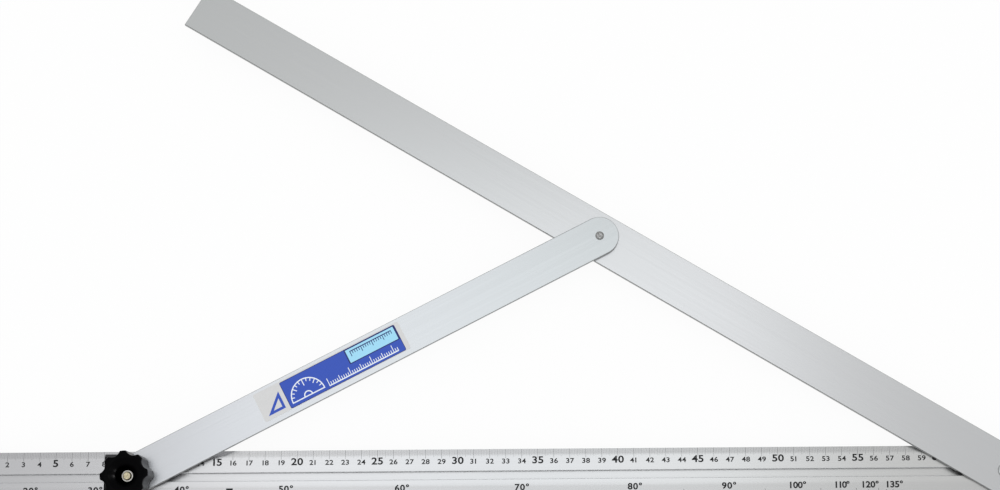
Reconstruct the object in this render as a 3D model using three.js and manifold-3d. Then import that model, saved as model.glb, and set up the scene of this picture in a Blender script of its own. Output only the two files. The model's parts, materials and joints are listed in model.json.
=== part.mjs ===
// Sliding bevel: a slotted aluminium rail with a length scale and an angle scale, a straight blade
// hinged over one end of the rail, and a link arm that props the blade from a carriage which is
// clamped over the rail's slot by a scalloped knob.
// Millimetres. +X runs along the rail to the blade's pivot, +Y points to the length scale's edge,
// +Z is up, and the origin is on the rail's underside at the middle of its length and width.
import * as THREE from 'three';
import { mergeVertices } from 'three/addons/utils/BufferGeometryUtils.js';
import Module from 'manifold-3d';

const wasm = await Module();
wasm.setup();

// Linkage: the angle between blade and rail, the distances between the pivot axes, and the rail
// that is left beyond the blade's pivot, and beyond the clamp when the linkage is folded flat
const openingDeg = 31.1;
const crankLength = 291.4;
const linkLength = 329.8;
const pivotInset = 15.4;
const foldedMargin = 31.4;

// Rail, an extrusion with a T-slot along its middle and hollow chambers beside and below it
const railWidth = 32.2;
const railHeight = 12;
const railWall = 1.8;
const railWeb = 1.6;
const railEdgeBreak = 0.5;
const slotWidth = 5.2;
const lipThickness = 1.6;
const lipEdgeBreak = 0.2;
const channelWidth = 14.4;
const channelDepth = 2.8;
const lengthScaleWidth = 4.2;
const lengthScaleDrop = 0.6;
const angleScaleWidth = 10.4;
const angleScaleDrop = 1;
const scaleRoll = 1.2;

// Flat bars
const bladeWidth = 30.6;
const bladeThickness = 3;
const bladeReach = 596.6;
const linkWidth = 24.6;
const linkThickness = 3;
const barEdgeBreak = 0.3;

// Plastic washers that keep the bars apart, and the running gap on each face of them
const bearingThickness = 0.4;
const bearingGap = 0.1;
const bearingWidth = 14;

// Rivets and what they pass through
const rivetHeadWidth = 5.4;
const rivetHeadHeight = 1.1;
const linkRivetShank = 3.6;
const pivotRivetShank = 4.6;
const rivetClearance = 0.2;
const countersinkWidth = 6.8;
const countersinkDepth = 1.4;
const headWasherWidth = 8.6;
const headWasherThickness = 0.6;
const backingWidth = 12;
const backingThickness = 1.4;
const tailWidth = 7;
const tailHeight = 0.8;

// Carriage, its index tab over the angle scale, and the stud and nut that clamp it
const indexReach = 18.1;
const indexWidth = 4;
const carriageReach = 16.5;
const carriageTail = 11;
const carriageWidth = 28.6;
const carriageGap = 0.2;
const carriageChamferWidth = 1.8;
const carriageChamferDrop = 1.2;
const studWidth = 4.8;
const studClearance = 0.25;
const studLift = 0.4;
const studTip = 0.5;
const studProud = 1.8;
const nutLength = 14;
const nutWidth = 8;
const nutThickness = 2.2;
const nutGap = 0.3;
const washerWidth = 18;
const washerThickness = 1;
const stackGap = 0.1;

// Knob: lobes between round scallops, deepest at the rim, over a dished top with a deep recess
const knobHeight = 16.6;
const knobTipRadius = 14.7;
const knobSkirtGrowth = 0.9;
const knobLobes = 8;
const knobTurnDeg = 4.5;
const scallopRadius = 5;
const scallopCentre = 17.5;
const scallopSkirtCentre = 19.2;
const knobEdgeBreak = 0.7;
const rimLand = 2.2;
const dishRadius = 6.2;
const dishDepth = 3;
const recessRadius = 5.3;
const recessDepth = 12;

// Threaded insert in the knob's core
const insertWidth = 7;
const insertHeight = 4.4;
const insertProud = 0.8;
const insertChamfer = 0.3;
const insertGap = 0.3;

// Label on the link arm, measured along and across it from the clamp's axis
const labelStart = 89.2;
const labelLength = 101.2;
const labelWidth = 19;
const labelOffset = 0.8;
const labelThickness = 0.15;
const labelGap = 0.05;
const labelCorner = 0.8;

// End caps
const capThickness = 2.5;
const capGap = 0.1;
const plugLength = 8;
const plugClearance = 0.3;
const plugBite = 1;

// Fineness of the round shapes, and the overrun of the cutting solids
const roundSteps = 32;
const barEndSteps = 24;
const cornerSteps = 4;
const cutOverrun = 1;

// Places that follow from the sizes above
const railLength = pivotInset + crankLength + linkLength + foldedMargin;
const opening = THREE.MathUtils.degToRad(openingDeg);
const linkSlope = Math.asin(crankLength * Math.sin(opening) / linkLength);
const pivotX = railLength / 2 - pivotInset;
const clampX = pivotX - crankLength * Math.cos(opening) - linkLength * Math.cos(linkSlope);
const barGap = bearingThickness + 2 * bearingGap;
const bladeBase = railHeight + barGap;
const bladeTop = bladeBase + bladeThickness;
const linkBase = bladeTop + barGap;
const linkTop = linkBase + linkThickness;
const carriageBase = railHeight + carriageGap;
const carriageTop = linkBase - barGap;
const lipBase = railHeight - lipThickness;
const channelFloor = lipBase - channelDepth;
const washerBase = linkTop + stackGap;
const knobBase = washerBase + washerThickness + stackGap;
const recessFloor = knobHeight - recessDepth;
const insertTop = knobBase + recessFloor + insertProud;
const boltHole = studWidth + 2 * studClearance;

function surface(color, roughness, metalness) {
  return new THREE.MeshStandardMaterial({ color, roughness, metalness });
}

const finish = {
  rail: () => surface(0xcdd0d0, 0.42, 0.9),
  bar: () => surface(0xd2d5d6, 0.4, 0.9),
  steel: () => surface(0x9a9c9b, 0.35, 1),
  brass: () => surface(0xc2ab74, 0.35, 1),
  black: () => surface(0x17171a, 0.4, 0),
  nylon: () => surface(0xe6e4dc, 0.6, 0),
  label: () => surface(0x2b4fa8, 0.35, 0),
};

function mesh(name, geometry, material, x, y, z) {
  const part = new THREE.Mesh(geometry, material);
  part.name = name;
  part.position.set(x, y, z);
  return part;
}

function arc(x, y, radius, from, to, steps) {
  const points = [];
  for (let i = 0; i <= steps; i += 1) {
    const angle = from + (to - from) * i / steps;
    points.push(new THREE.Vector2(x + radius * Math.cos(angle), y + radius * Math.sin(angle)));
  }
  return points;
}

// A round hole in a flat outline, without its last point because the path closes on its first
function roundHole(x, y, width) {
  return new THREE.Path().setFromPoints(arc(x, y, width / 2, 0, 2 * Math.PI, roundSteps).slice(0, -1));
}

function cornered(points) {
  return points.map(([x, y]) => new THREE.Vector2(x, y));
}

function plate(outline, holes, thickness) {
  const shape = new THREE.Shape(outline);
  shape.holes = holes;
  return new THREE.ExtrudeGeometry(shape, { depth: thickness, bevelEnabled: false });
}

// A flat bar from its outline, with its long edges broken
function bar(outline, holes, thickness) {
  const shape = new THREE.Shape(outline);
  shape.holes = holes;
  const geometry = new THREE.ExtrudeGeometry(shape, {
    depth: thickness - 2 * barEdgeBreak,
    bevelThickness: barEdgeBreak,
    bevelSize: barEdgeBreak,
    bevelOffset: -barEdgeBreak,
    bevelSegments: 1,
  });
  return geometry.translate(0, 0, barEdgeBreak);
}

// A turned piece from the radius and height of each corner of its section
function turned(section) {
  return new THREE.LatheGeometry(cornered(section), roundSteps).rotateX(Math.PI / 2);
}

function ring(outer, inner, thickness) {
  return turned([
    [inner / 2, 0], [outer / 2, 0], [outer / 2, thickness], [inner / 2, thickness], [inner / 2, 0],
  ]);
}

// An extrusion along X of an outline drawn in Y and Z
function railwise(shape, length) {
  const settings = { depth: length, bevelEnabled: false, curveSegments: cornerSteps };
  const axes = new THREE.Matrix4().makeBasis(
    new THREE.Vector3(0, 1, 0), new THREE.Vector3(0, 0, 1), new THREE.Vector3(1, 0, 0));
  return new THREE.ExtrudeGeometry(shape, settings).applyMatrix4(axes);
}

function toManifold(geometry) {
  const plain = geometry.clone();
  plain.deleteAttribute('normal');
  plain.deleteAttribute('uv');
  const merged = mergeVertices(plain);
  return new wasm.Manifold(new wasm.Mesh({
    numProp: 3,
    vertProperties: Float32Array.from(merged.attributes.position.array),
    triVerts: Uint32Array.from(merged.index.array),
  }));
}

function toGeometry(solid) {
  const result = solid.getMesh();
  const geometry = new THREE.BufferGeometry();
  geometry.setAttribute('position', new THREE.BufferAttribute(result.vertProperties, 3));
  geometry.setIndex(new THREE.BufferAttribute(result.triVerts, 1));
  geometry.computeVertexNormals();
  return geometry;
}

function cut(geometry, tool) {
  return toGeometry(toManifold(geometry).subtract(toManifold(tool)));
}

// The rail's outline in Y and Z. Each scale face rolls softly into the flat land beside the slot.
function railOutline(slotted) {
  const side = railWidth / 2;
  const mouth = slotWidth / 2;
  const channel = channelWidth / 2;
  const lengthCorner = side - lengthScaleWidth;
  const angleCorner = angleScaleWidth - side;
  const lengthFall = lengthScaleDrop * scaleRoll / lengthScaleWidth;
  const angleFall = angleScaleDrop * scaleRoll / angleScaleWidth;
  const shape = new THREE.Shape();
  shape.moveTo(railEdgeBreak - side, 0);
  shape.lineTo(side - railEdgeBreak, 0);
  shape.lineTo(side, railEdgeBreak);
  shape.lineTo(side, railHeight - lengthScaleDrop);
  shape.lineTo(lengthCorner + scaleRoll, railHeight - lengthFall);
  shape.quadraticCurveTo(lengthCorner, railHeight, lengthCorner - scaleRoll, railHeight);
  if (slotted) {
    shape.lineTo(mouth + lipEdgeBreak, railHeight);
    shape.lineTo(mouth, railHeight - lipEdgeBreak);
    shape.lineTo(mouth, lipBase);
    shape.lineTo(channel, lipBase);
    shape.lineTo(channel, channelFloor);
    shape.lineTo(-channel, channelFloor);
    shape.lineTo(-channel, lipBase);
    shape.lineTo(-mouth, lipBase);
    shape.lineTo(-mouth, railHeight - lipEdgeBreak);
    shape.lineTo(-mouth - lipEdgeBreak, railHeight);
  }
  shape.lineTo(angleCorner + scaleRoll, railHeight);
  shape.quadraticCurveTo(angleCorner, railHeight, angleCorner - scaleRoll, railHeight - angleFall);
  shape.lineTo(-side, railHeight - angleScaleDrop);
  shape.lineTo(-side, railEdgeBreak);
  return shape;
}

// The chambers' rectangles, as distances from the rail's middle and heights
const sideChamber = {
  inner: channelWidth / 2 + railWeb,
  outer: railWidth / 2 - railWall,
  low: railWall,
  high: railHeight - Math.max(lengthScaleDrop, angleScaleDrop) - railWall,
};
const lowChamber = { outer: channelWidth / 2, low: railWeb, high: channelFloor - railWeb };

function chamber(from, to, low, high) {
  return new THREE.Path().setFromPoints(cornered([[from, low], [to, low], [to, high], [from, high]]));
}

function baseRail() {
  const { inner, outer, low, high } = sideChamber;
  const shape = railOutline(true);
  shape.holes = [
    chamber(inner, outer, low, high),
    chamber(-outer, -inner, low, high),
    chamber(-lowChamber.outer, lowChamber.outer, lowChamber.low, lowChamber.high),
  ];
  return mesh('base_rail', railwise(shape, railLength), finish.rail(), -railLength / 2, 0, 0);
}

// A cap closes the slot and the chambers at the end that direction points to, and is held by a
// plug in each side chamber
function endCap(name, direction) {
  const width = sideChamber.outer - sideChamber.inner - 2 * plugClearance;
  const height = sideChamber.high - sideChamber.low - 2 * plugClearance;
  const face = railwise(railOutline(false), capThickness);
  if (direction < 0) face.translate(-capThickness, 0, 0);
  let solid = toManifold(face);
  for (const side of [-1, 1]) {
    const plug = new THREE.BoxGeometry(plugLength + plugBite, width, height);
    const middle = side * (sideChamber.outer + sideChamber.inner) / 2;
    const inward = direction * (plugLength - plugBite) / 2;
    plug.translate(-inward, middle, (sideChamber.high + sideChamber.low) / 2);
    solid = solid.add(toManifold(plug));
  }
  const place = direction * (railLength / 2 + capGap);
  return mesh(name, toGeometry(solid), finish.black(), place, 0, 0);
}

// Blade: its pivot is at its own origin and it runs along its own -X. The link's rivet is clinched
// in a countersink in its underside.
function blade() {
  const half = bladeWidth / 2;
  const outline = [
    ...arc(0, 0, half, -Math.PI / 2, Math.PI / 2, barEndSteps),
    ...cornered([[-bladeReach, half], [-bladeReach, -half]]),
  ];
  const holes = [
    roundHole(0, 0, pivotRivetShank + 2 * rivetClearance),
    roundHole(-crankLength, 0, linkRivetShank + 2 * rivetClearance),
  ];
  const seat = linkRivetShank / 2;
  const slope = (countersinkWidth / 2 - seat) / countersinkDepth;
  const countersink = turned([
    [0, -cutOverrun],
    [countersinkWidth / 2 + cutOverrun * slope, -cutOverrun],
    [seat, countersinkDepth],
    [0, countersinkDepth],
  ]);
  countersink.translate(-crankLength, 0, 0);
  const geometry = cut(bar(outline, holes, bladeThickness), countersink);
  return mesh('blade', geometry, finish.bar(), 0, 0, bladeBase);
}

// Link arm: its clamp hole is at its own origin and it runs along its own +X
function linkArm() {
  const half = linkWidth / 2;
  const outline = [
    ...arc(0, 0, half, Math.PI / 2, 3 * Math.PI / 2, barEndSteps),
    ...arc(linkLength, 0, half, -Math.PI / 2, Math.PI / 2, barEndSteps),
  ];
  const holes = [
    roundHole(0, 0, boltHole),
    roundHole(linkLength, 0, linkRivetShank + 2 * rivetClearance),
  ];
  return mesh('link_arm', bar(outline, holes, linkThickness), finish.bar(), 0, 0, linkBase);
}

function label() {
  const x0 = labelStart;
  const x1 = labelStart + labelLength;
  const y0 = labelOffset - labelWidth / 2;
  const y1 = labelOffset + labelWidth / 2;
  const r = labelCorner;
  const outline = [
    ...arc(x0 + r, y0 + r, r, Math.PI, 3 * Math.PI / 2, cornerSteps),
    ...arc(x1 - r, y0 + r, r, -Math.PI / 2, 0, cornerSteps),
    ...arc(x1 - r, y1 - r, r, 0, Math.PI / 2, cornerSteps),
    ...arc(x0 + r, y1 - r, r, Math.PI / 2, Math.PI, cornerSteps),
  ];
  return mesh('label', plate(outline, [], labelThickness), finish.label(), 0, 0, linkTop + labelGap);
}

// The rounded head that both rivets have, as the section's corners from its rim to its crown
function rivetHead(base) {
  const radius = rivetHeadWidth / 2;
  const rimShare = 0.35;
  const shoulderShares = [0.8, 0.75];
  const crownShare = 0.4;
  return [
    [radius, base],
    [radius, base + rimShare * rivetHeadHeight],
    [shoulderShares[0] * radius, base + shoulderShares[1] * rivetHeadHeight],
    [crownShare * radius, base + rivetHeadHeight],
    [0, base + rivetHeadHeight],
  ];
}

// The link's rivet stands in the blade, on the blade's own origin height, with a flush tail below
function linkRivet() {
  const shank = linkRivetShank / 2;
  const tailBase = bladeBase + bearingGap;
  const tailTop = bladeBase + countersinkDepth;
  const section = [
    [0, tailBase],
    [countersinkWidth / 2 - 2 * rivetClearance, tailBase],
    [shank, tailTop - rivetClearance],
    [shank, linkTop + bearingGap],
    ...rivetHead(linkTop + bearingGap),
  ];
  return mesh('link_rivet', turned(section), finish.steel(), -crankLength, 0, 0);
}

function linkWasher() {
  const hole = linkRivetShank + 2 * rivetClearance;
  const geometry = ring(bearingWidth, hole, bearingThickness);
  return mesh('link_washer', geometry, finish.nylon(), -crankLength, 0, bladeTop + bearingGap);
}

// The blade's pivot: a rivet through blade and slot, upset under a square plate in the channel
const backingTop = lipBase - bearingGap;
const tailTop = backingTop - backingThickness - bearingGap;
const headBase = bladeTop + headWasherThickness + 2 * bearingGap;
const pivotHole = pivotRivetShank + 2 * rivetClearance;

function pivotRivet() {
  const shank = pivotRivetShank / 2;
  const section = [
    [0, tailTop - tailHeight],
    [tailWidth / 2, tailTop - tailHeight],
    [tailWidth / 2, tailTop],
    [shank, tailTop],
    [shank, headBase],
    ...rivetHead(headBase),
  ];
  return mesh('pivot_rivet', turned(section), finish.steel(), pivotX, 0, 0);
}

function pivotHeadWasher() {
  const geometry = ring(headWasherWidth, pivotHole, headWasherThickness);
  return mesh('pivot_head_washer', geometry, finish.steel(), pivotX, 0, bladeTop + bearingGap);
}

function pivotWasher() {
  const geometry = ring(bearingWidth, pivotHole, bearingThickness);
  return mesh('pivot_washer', geometry, finish.nylon(), pivotX, 0, railHeight + bearingGap);
}

function pivotBacking() {
  const half = backingWidth / 2;
  const outline = cornered([[-half, -half], [half, -half], [half, half], [-half, half]]);
  const geometry = plate(outline, [roundHole(0, 0, pivotHole)], backingThickness);
  return mesh('pivot_backing', geometry, finish.steel(), pivotX, 0, backingTop - backingThickness);
}

// Carriage: the angle scale is read against the end of the low tab at its corner
function carriage() {
  const half = carriageWidth / 2;
  const block = new THREE.Shape(cornered([
    [-half, carriageBase],
    [half, carriageBase],
    [half, carriageTop - carriageChamferDrop],
    [half - carriageChamferWidth, carriageTop],
    [carriageChamferWidth - half, carriageTop],
    [-half, carriageTop - carriageChamferDrop],
  ]));
  const tab = new THREE.Shape(cornered([
    [-half, carriageBase],
    [indexWidth - half, carriageBase],
    [indexWidth - half, carriageTop - carriageChamferDrop],
    [-half, carriageTop - carriageChamferDrop],
  ]));
  const body = toGeometry(
    toManifold(railwise(block, carriageReach + carriageTail).translate(-carriageReach, 0, 0))
      .add(toManifold(railwise(tab, indexReach).translate(-indexReach, 0, 0))));
  const bore = turned([
    [0, carriageBase - cutOverrun],
    [boltHole / 2, carriageBase - cutOverrun],
    [boltHole / 2, carriageTop + cutOverrun],
    [0, carriageTop + cutOverrun],
  ]);
  return mesh('carriage', cut(body, bore), finish.black(), clampX, 0, 0);
}

function carriageWasher() {
  const geometry = ring(bearingWidth, boltHole, bearingThickness);
  return mesh('carriage_washer', geometry, finish.nylon(), clampX, 0, carriageTop + bearingGap);
}

// Slot nut under the lips. The stud that screws into it stops above the rail, which leaves the
// clearance of the linkage's open joint between the two.
function slotNut() {
  const outline = cornered([
    [-nutLength / 2, -nutWidth / 2], [nutLength / 2, -nutWidth / 2],
    [nutLength / 2, nutWidth / 2], [-nutLength / 2, nutWidth / 2],
  ]);
  const geometry = plate(outline, [roundHole(0, 0, studWidth)], nutThickness);
  return mesh('slot_nut', geometry, finish.steel(), clampX, 0, lipBase - nutGap - nutThickness);
}

function clampStud() {
  const radius = studWidth / 2;
  const low = railHeight + studLift;
  const high = insertTop + studProud;
  const section = [[0, low], [radius, low], [radius, high - studTip], [radius - studTip, high], [0, high]];
  return mesh('clamp_stud', turned(section), finish.brass(), clampX, 0, 0);
}

function clampWasher() {
  const geometry = ring(washerWidth, boltHole, washerThickness);
  return mesh('clamp_washer', geometry, finish.steel(), clampX, 0, washerBase);
}

// The knob's radius at an angle from the middle of a scallop: a circle that is bitten by the
// scallop's own circle
function lobeRadius(angle, tip, centre) {
  const across = Math.abs(centre * Math.sin(angle));
  if (across >= scallopRadius) return tip;
  return Math.min(tip, centre * Math.cos(angle) - Math.sqrt(scallopRadius ** 2 - across ** 2));
}

// Directions round the knob, closer together where a lobe turns into a scallop
const directionShares = [-1, -0.8, -0.64, -0.36, 0, 0.36, 0.64, 0.8];

function knobDirections() {
  const halfPitch = Math.PI / knobLobes;
  const directions = [];
  for (let lobe = 0; lobe < knobLobes; lobe += 1) {
    for (const share of directionShares) {
      const offset = share * halfPitch;
      directions.push({ offset, angle: (2 * lobe + 1) * halfPitch + offset });
    }
  }
  return directions;
}

// Levels of the knob's skin, from its bore along the underside, up the lobes and down the dish to
// the bore again. A level is a circle, or a lobed ring with a share of the way from skirt to rim.
function knobLevels() {
  const bore = insertWidth / 2 + insertGap;
  const rim = scallopCentre - scallopRadius - rimLand;
  const lobed = (share, inset, z) => ({
    tip: knobTipRadius + (1 - share) * knobSkirtGrowth - inset,
    centre: scallopSkirtCentre + share * (scallopCentre - scallopSkirtCentre) - inset,
    z,
  });
  const circle = (radius, z) => ({ radius, z });
  const wallShares = [0.35, 0.7];
  return [
    circle(bore, 0),
    lobed(0, knobEdgeBreak, 0),
    lobed(0, 0, knobEdgeBreak),
    ...wallShares.map((share) => lobed(share, 0, share * knobHeight)),
    lobed(1, 0, knobHeight - knobEdgeBreak),
    lobed(1, knobEdgeBreak, knobHeight),
    circle(rim, knobHeight),
    circle(dishRadius, knobHeight - dishDepth),
    circle(recessRadius, knobHeight - dishDepth - knobEdgeBreak),
    circle(recessRadius, recessFloor),
    circle(bore, recessFloor),
  ];
}

function knobGeometry() {
  const directions = knobDirections();
  const levels = knobLevels();
  const count = directions.length;
  const positions = [];
  for (const level of levels) {
    for (const { offset, angle } of directions) {
      const radius = level.radius ?? lobeRadius(offset, level.tip, level.centre);
      positions.push(radius * Math.cos(angle), radius * Math.sin(angle), level.z);
    }
  }
  const faces = [];
  for (let i = 0; i < levels.length; i += 1) {
    const here = i * count;
    const next = ((i + 1) % levels.length) * count;
    for (let j = 0; j < count; j += 1) {
      const k = (j + 1) % count;
      faces.push(here + j, here + k, next + k, here + j, next + k, next + j);
    }
  }
  const geometry = new THREE.BufferGeometry();
  geometry.setAttribute('position', new THREE.Float32BufferAttribute(positions, 3));
  geometry.setIndex(faces);
  geometry.computeVertexNormals();
  return geometry;
}

function knob() {
  const part = mesh('knob', knobGeometry(), finish.black(), clampX, 0, knobBase);
  part.rotation.z = THREE.MathUtils.degToRad(knobTurnDeg);
  return part;
}

function knobInsert() {
  const outer = insertWidth / 2;
  const inner = boltHole / 2;
  const base = insertTop - insertHeight;
  const section = [
    [inner, base],
    [outer, base],
    [outer, insertTop - insertChamfer / 2],
    [outer - insertChamfer / 2, insertTop],
    [inner + insertChamfer, insertTop],
    [inner, insertTop - insertChamfer],
    [inner, base],
  ];
  return mesh('knob_insert', turned(section), finish.steel(), clampX, 0, 0);
}

// The blade and what is riveted to it turn together about the pivot
const bladeGroup = new THREE.Group();
bladeGroup.position.x = pivotX;
bladeGroup.rotation.z = -opening;
bladeGroup.add(blade(), linkRivet(), linkWasher());

const linkGroup = new THREE.Group();
linkGroup.position.x = clampX;
linkGroup.rotation.z = linkSlope;
linkGroup.add(linkArm(), label());

const group = new THREE.Group();
group.add(baseRail(), endCap('end_cap_left', -1), endCap('end_cap_right', 1));
group.add(pivotRivet(), pivotHeadWasher(), pivotWasher(), pivotBacking());
group.add(bladeGroup, linkGroup);
group.add(carriage(), carriageWasher(), slotNut(), clampStud(), clampWasher(), knob(), knobInsert());

export default group;
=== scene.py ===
# Sliding bevel dressed for rendering: satin aluminium rail and bars, printed scales,
# black moulded knob and carriage, domed rivets, a threaded stud and a plain printed label.
import json
import math
import bpy
import bmesh
from mathutils import Matrix, Vector


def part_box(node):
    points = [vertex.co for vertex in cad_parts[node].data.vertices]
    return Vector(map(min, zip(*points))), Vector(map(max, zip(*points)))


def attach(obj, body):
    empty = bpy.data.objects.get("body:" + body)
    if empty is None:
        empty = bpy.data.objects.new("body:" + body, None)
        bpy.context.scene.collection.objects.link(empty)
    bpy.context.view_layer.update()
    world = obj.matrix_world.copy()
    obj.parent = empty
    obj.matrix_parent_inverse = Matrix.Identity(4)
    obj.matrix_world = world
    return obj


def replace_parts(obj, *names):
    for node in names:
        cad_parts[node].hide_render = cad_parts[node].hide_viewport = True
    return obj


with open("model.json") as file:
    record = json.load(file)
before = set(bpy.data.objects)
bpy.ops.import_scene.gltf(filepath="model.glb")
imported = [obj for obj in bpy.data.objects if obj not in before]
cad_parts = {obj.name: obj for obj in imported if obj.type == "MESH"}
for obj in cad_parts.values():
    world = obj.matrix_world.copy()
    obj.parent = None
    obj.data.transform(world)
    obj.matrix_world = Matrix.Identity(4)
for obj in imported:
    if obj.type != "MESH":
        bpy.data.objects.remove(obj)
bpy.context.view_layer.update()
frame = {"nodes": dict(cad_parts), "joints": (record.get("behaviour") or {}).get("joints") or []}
nodes = frame["nodes"]
scene = bpy.context.scene
mm = 0.001
print("frame loaded:", len(nodes), "solids")

# where the linkage's axes are at rest, and which way its bars point
joints = {joint["name"]: joint for joint in frame["joints"]}
pivotAt = Vector(joints["blade_pivot"]["pos_m"])
crankAt = Vector(joints["link_pivot"]["pos_m"])
clampAt = Vector(joints["clamp_pivot"]["pos_m"])
bladeTurn = math.atan2(pivotAt.y - crankAt.y, pivotAt.x - crankAt.x)
linkTurn = math.atan2(crankAt.y - clampAt.y, crankAt.x - clampAt.x)

# the camera stands over the rail's front edge and looks down with a slight tilt
view = {
    "place": (-4.86, -84.08, 1076.48),      # mm
    "turn": (12.2211, -0.4559, -0.4815),    # degrees about X, Y and Z
    "lens": 61.194, "sensor": 36,           # mm
}
cameraData = bpy.data.cameras.new("camera")
cameraData.lens = view["lens"]
cameraData.sensor_width = view["sensor"]
camera = bpy.data.objects.new("camera", cameraData)
camera.location = Vector(view["place"]) * mm
camera.rotation_euler = [math.radians(angle) for angle in view["turn"]]
scene.collection.objects.link(camera)
scene.camera = camera
print("camera placed")


def linear(hexColour):
    # the sRGB curve undone, with an alpha of 1
    parts = [int(hexColour[i:i + 2], 16) / 255 for i in (1, 3, 5)]
    return [c / 12.92 if c <= 0.04045 else ((c + 0.055) / 1.055) ** 2.4 for c in parts] + [1]


def addNode(tree, kind, settings=None, inputs=None):
    node = tree.nodes.new(kind)
    for name, value in (settings or {}).items():
        setattr(node, name, value)
    for socket, value in (inputs or {}).items():
        if isinstance(value, bpy.types.NodeSocket):
            tree.links.new(value, node.inputs[socket])
        else:
            node.inputs[socket].default_value = value
    return node


def newMaterial(name):
    material = bpy.data.materials.new(name)
    material.use_nodes = True
    material.node_tree.nodes.clear()
    return material, material.node_tree


def dress(names, material):
    for name in names:
        nodes[name].data.materials.clear()
        nodes[name].data.materials.append(material)


def addPiece(name, bm, materials, body, sharpDegrees=None):
    bmesh.ops.recalc_face_normals(bm, faces=bm.faces)
    if sharpDegrees is not None:
        for face in bm.faces:
            face.smooth = True
        for edge in bm.edges:
            edge.smooth = edge.calc_face_angle(0) < math.radians(sharpDegrees)
    mesh = bpy.data.meshes.new(name)
    bm.to_mesh(mesh)
    bm.free()
    for material in materials:
        mesh.materials.append(material)
    piece = bpy.data.objects.new(name, mesh)
    scene.collection.objects.link(piece)
    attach(piece, body)
    return piece


def addPrism(bm, outline, low, high, place, materialIndex=0):
    # a closed prism over a flat outline, in mm before it is placed
    rings = []
    for z in (low, high):
        rings.append([bm.verts.new(place @ Vector((x * mm, y * mm, z * mm))) for x, y in outline])
    faces = [bm.faces.new(rings[0][::-1]), bm.faces.new(rings[1])]
    count = len(outline)
    for i in range(count):
        j = (i + 1) % count
        faces.append(bm.faces.new((rings[0][i], rings[0][j], rings[1][j], rings[1][i])))
    for face in faces:
        face.material_index = materialIndex


def roundedBox(x0, x1, y0, y1, radius):
    steps = 4                       # to a quarter turn
    points = []
    corners = ((x1 - radius, y0 + radius, -90), (x1 - radius, y1 - radius, 0),
               (x0 + radius, y1 - radius, 90), (x0 + radius, y0 + radius, 180))
    for x, y, start in corners:
        for i in range(steps + 1):
            angle = math.radians(start + 90 * i / steps)
            points.append((x + radius * math.cos(angle), y + radius * math.sin(angle)))
    return points


def halfRing(x, y, inner, outer, steps):
    # the outline of a curved stroke over the upper half turn, between two radii
    turns = [math.radians(180 * i / steps) for i in range(steps + 1)]
    return ([(x + outer * math.cos(t), y + outer * math.sin(t)) for t in turns]
            + [(x + inner * math.cos(t), y + inner * math.sin(t)) for t in reversed(turns)])


def stroke(x0, y0, x1, y1, width):
    # the outline of a straight stroke with square ends
    along = Vector((x1 - x0, y1 - y0)).normalized()
    sx, sy = -along.y * width / 2, along.x * width / 2
    return [(x0 - sx, y0 - sy), (x1 - sx, y1 - sy), (x1 + sx, y1 + sy), (x0 + sx, y0 + sy)]


def addTurned(bm, section, place):
    # a solid of revolution about Z from a closed section of radius and height in mm
    steps = 72                      # to a whole turn
    rings = []
    for radius, z in section:
        if radius == 0:
            rings.append([bm.verts.new(place @ Vector((0, 0, z * mm)))])
            continue
        ring = []
        for i in range(steps):
            angle = 2 * math.pi * i / steps
            ring.append(bm.verts.new(place @ Vector(
                (radius * math.cos(angle) * mm, radius * math.sin(angle) * mm, z * mm))))
        rings.append(ring)
    for k, ring in enumerate(rings):
        following = rings[(k + 1) % len(rings)]
        for i in range(steps):
            j = (i + 1) % steps
            corners = [ring[i % len(ring)], ring[j % len(ring)],
                       following[j % len(following)], following[i % len(following)]]
            corners = [v for n, v in enumerate(corners) if v not in corners[:n]]
            if len(corners) > 2:
                bm.faces.new(corners)


def upShare(tree, low, high):
    # 1 on faces that look up or down, 0 on upright ones, in the object's own terms
    face = addNode(tree, "ShaderNodeNewGeometry")
    parts = addNode(tree, "ShaderNodeSeparateXYZ", {}, {"Vector": face.outputs["Normal"]})
    size = addNode(tree, "ShaderNodeMath", {"operation": "ABSOLUTE"}, {0: parts.outputs["Z"]})
    return addNode(tree, "ShaderNodeMapRange", {}, {
        "Value": size.outputs[0], "From Min": low, "From Max": high}).outputs["Result"]


anodising = {
    "dieLine": (0.16, 0.0011, 0.0011),      # metres along, across and through the bar
    "lineTint": "#F9F9F9", "lineGloss": 0.02,   # what a line does to the tone and the roughness
    "relief": (0.1, 0.00002),               # strength, and depth in metres
    "reach": 0.35,                          # metres either way along X that the painted sheen tones cover
    "level": (0.975, 0.999),                # slope shares between a bevel and a level face
    "outer": (14, 15),                      # mm from the middle line to the outer side faces
    "mouth": (2.4, 2.6), "lip": (10.3, 10.2), "channel": 8,     # mm aside, up and aside
}


def barTones(tree, placeAlongBar, tones):
    # painted sheen: the lighter and darker tones that a bar's faces take from end to end, in place of the
    # reflection that brightens and dims along the bar
    ramp = addNode(tree, "ShaderNodeValToRGB", {}, {"Fac": placeAlongBar})
    stops = ramp.color_ramp.elements
    while len(stops) < len(tones):
        stops.new(1.0)
    for stop, (x, hexColour) in zip(stops, tones):
        stop.position = (x + anodising["reach"]) / (2 * anodising["reach"])
        stop.color = linear(hexColour)
    return ramp.outputs["Color"]


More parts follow.
